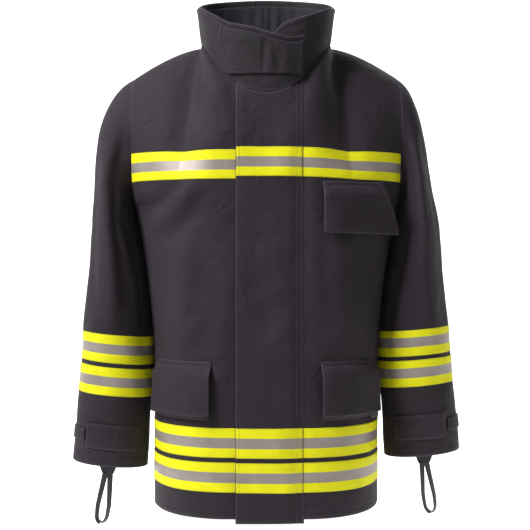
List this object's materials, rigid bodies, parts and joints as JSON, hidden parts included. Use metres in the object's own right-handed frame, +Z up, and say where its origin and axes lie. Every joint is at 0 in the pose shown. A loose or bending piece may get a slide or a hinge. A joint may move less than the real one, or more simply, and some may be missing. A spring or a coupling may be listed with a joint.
{
  "type": "turnout coat",
  "caption": "Firefighter's turnout coat with stand-up collar, throat tab, storm flap over a zip, flap pockets, reflective bands, cuff tabs and thumb loops.",
  "frame": {"origin": "middle of the neck opening, level with the neck ends of the shoulder seams, where the wearer's neck and shoulders hold the coat", "axes": "+Z up, -Y out of the coat's front, +X to the wearer's left"},
  "size_m": [0.706, 0.3232, 0.9758],
  "materials": {
    "shell_fabric": "matt woven twill, dark navy",
    "liner_fabric": "matt quilted lining",
    "reflective_tape": "fluorescent lime tape with a silver retro-reflective centre",
    "knit": "ribbed knit",
    "webbing": "woven narrow webbing",
    "hook_and_loop": "hook and loop pile",
    "zip_brass": "tarnished brass"
  },
  "bodies": {
    "coat": {"back_panel": "shell_fabric", "front_panel_left": "shell_fabric", "front_panel_right": "shell_fabric", "collar": "shell_fabric", "hanging_loop": "shell_fabric", "lower_pocket_pouch_left": "shell_fabric", "lower_pocket_pouch_right": "shell_fabric", "chest_pocket_pouch": "shell_fabric", "liner_back": "liner_fabric", "liner_front_left": "liner_fabric", "liner_front_right": "liner_fabric", "collar_lining": "liner_fabric", "chest_tape_left": "reflective_tape", "chest_tape_right": "reflective_tape", "chest_tape_back": "reflective_tape", "hem_tape_upper_left": "reflective_tape", "hem_tape_upper_right": "reflective_tape", "hem_tape_upper_back": "reflective_tape", "hem_tape_lower_left": "reflective_tape", "hem_tape_lower_right": "reflective_tape", "hem_tape_lower_back": "reflective_tape", "zip_tape_left": "webbing", "zip_tape_right": "webbing", "collar_loop_patch": "hook_and_loop", "storm_flap_loop_strip": "hook_and_loop", "zip_teeth_left": "zip_brass", "zip_teeth_right": "zip_brass"},
    "storm_flap": {"storm_flap": "shell_fabric", "storm_flap_hook_strip": "hook_and_loop", "chest_tape_flap": "reflective_tape", "hem_tape_upper_flap": "reflective_tape", "hem_tape_lower_flap": "reflective_tape"},
    "zip_slider": {"zip_slider": "zip_brass"},
    "zip_pull": {"zip_pull": "zip_brass"},
    "throat_tab": {"throat_tab": "shell_fabric", "throat_hook_patch": "hook_and_loop"},
    "chest_flap": {"chest_pocket_flap": "shell_fabric"},
    "lower_flap_left": {"lower_pocket_flap_left": "shell_fabric", "pocket_pull_tab_left": "webbing"},
    "lower_flap_right": {"lower_pocket_flap_right": "shell_fabric"},
    "sleeve_left": {"sleeve_top_left": "shell_fabric", "sleeve_under_left": "shell_fabric", "sleeve_liner_left": "liner_fabric", "sleeve_tape_upper_left": "reflective_tape", "sleeve_tape_lower_left": "reflective_tape", "cuff_strap_left": "shell_fabric", "wristlet_left": "knit", "thumb_gusset_left": "knit"},
    "cuff_tab_left": {"cuff_tab_left": "shell_fabric"},
    "thumb_loop_left": {"thumb_loop_left": "webbing"},
    "sleeve_right": {"sleeve_top_right": "shell_fabric", "sleeve_under_right": "shell_fabric", "sleeve_liner_right": "liner_fabric", "sleeve_tape_upper_right": "reflective_tape", "sleeve_tape_lower_right": "reflective_tape", "cuff_strap_right": "shell_fabric", "wristlet_right": "knit", "thumb_gusset_right": "knit"},
    "cuff_tab_right": {"cuff_tab_right": "shell_fabric"},
    "thumb_loop_right": {"thumb_loop_right": "webbing"}
  },
  "joints": [
    {"name": "storm_flap_fold", "type": "hinge", "parent": "coat", "child": "storm_flap", "pos_m": [0.057, -0.1531, -0.349], "axis": [0, 0.0387, 0.9993], "range_deg": [0, 105]},
    {"name": "zip_slide", "type": "slide", "parent": "coat", "child": "zip_slider", "axis": [0, -0.0387, -0.9993], "range_m": [0, 0.655]},
    {"name": "zip_pull_lift", "type": "hinge", "parent": "zip_slider", "child": "zip_pull", "pos_m": [0.004, -0.1354, -0.1235], "axis": [-1, 0, 0], "range_deg": [0, 6]},
    {"name": "throat_tab_fold", "type": "hinge", "parent": "coat", "child": "throat_tab", "pos_m": [0.062, -0.1405, -0.02], "axis": [0, 0, 1], "range_deg": [0, 110]},
    {"name": "chest_flap_lift", "type": "hinge", "parent": "coat", "child": "chest_flap", "pos_m": [0.16449, -0.13, -0.2528], "axis": [-0.9226, -0.3858, 0], "range_deg": [0, 75]},
    {"name": "lower_flap_left_lift", "type": "hinge", "parent": "coat", "child": "lower_flap_left", "pos_m": [0.15778, -0.1319, -0.5618], "axis": [-0.7641, -0.6451, 0], "range_deg": [0, 115]},
    {"name": "lower_flap_right_lift", "type": "hinge", "parent": "coat", "child": "lower_flap_right", "pos_m": [-0.15778, -0.1319, -0.5618], "axis": [-0.7641, 0.6451, 0], "range_deg": [0, 115]},
    {"name": "shoulder_left_swing", "type": "hinge", "parent": "coat", "child": "sleeve_left", "pos_m": [0.2408, 0, -0.181], "axis": [-1, 0, 0], "range_deg": [-35, 80]},
    {"name": "cuff_tab_left_fold", "type": "hinge", "parent": "sleeve_left", "child": "cuff_tab_left", "pos_m": [0.32, -0.0531, -0.6795], "axis": [-0.0851, -0.035, 0.9958], "range_deg": [0, 100]},
    {"name": "thumb_loop_left_swing", "type": "hinge", "parent": "sleeve_left", "child": "thumb_loop_left", "pos_m": [0.28478, -0.0337, -0.755], "axis": [-1, 0, 0], "range_deg": [-40, 40]},
    {"name": "shoulder_right_swing", "type": "hinge", "parent": "coat", "child": "sleeve_right", "pos_m": [-0.2408, 0, -0.181], "axis": [-1, 0, 0], "range_deg": [-35, 80]},
    {"name": "cuff_tab_right_fold", "type": "hinge", "parent": "sleeve_right", "child": "cuff_tab_right", "pos_m": [-0.32, -0.0531, -0.6985], "axis": [-0.0851, 0.035, -0.9958], "range_deg": [0, 100]},
    {"name": "thumb_loop_right_swing", "type": "hinge", "parent": "sleeve_right", "child": "thumb_loop_right", "pos_m": [-0.28478, -0.0337, -0.774], "axis": [-1, 0, 0], "range_deg": [-40, 40]}
  ]
}
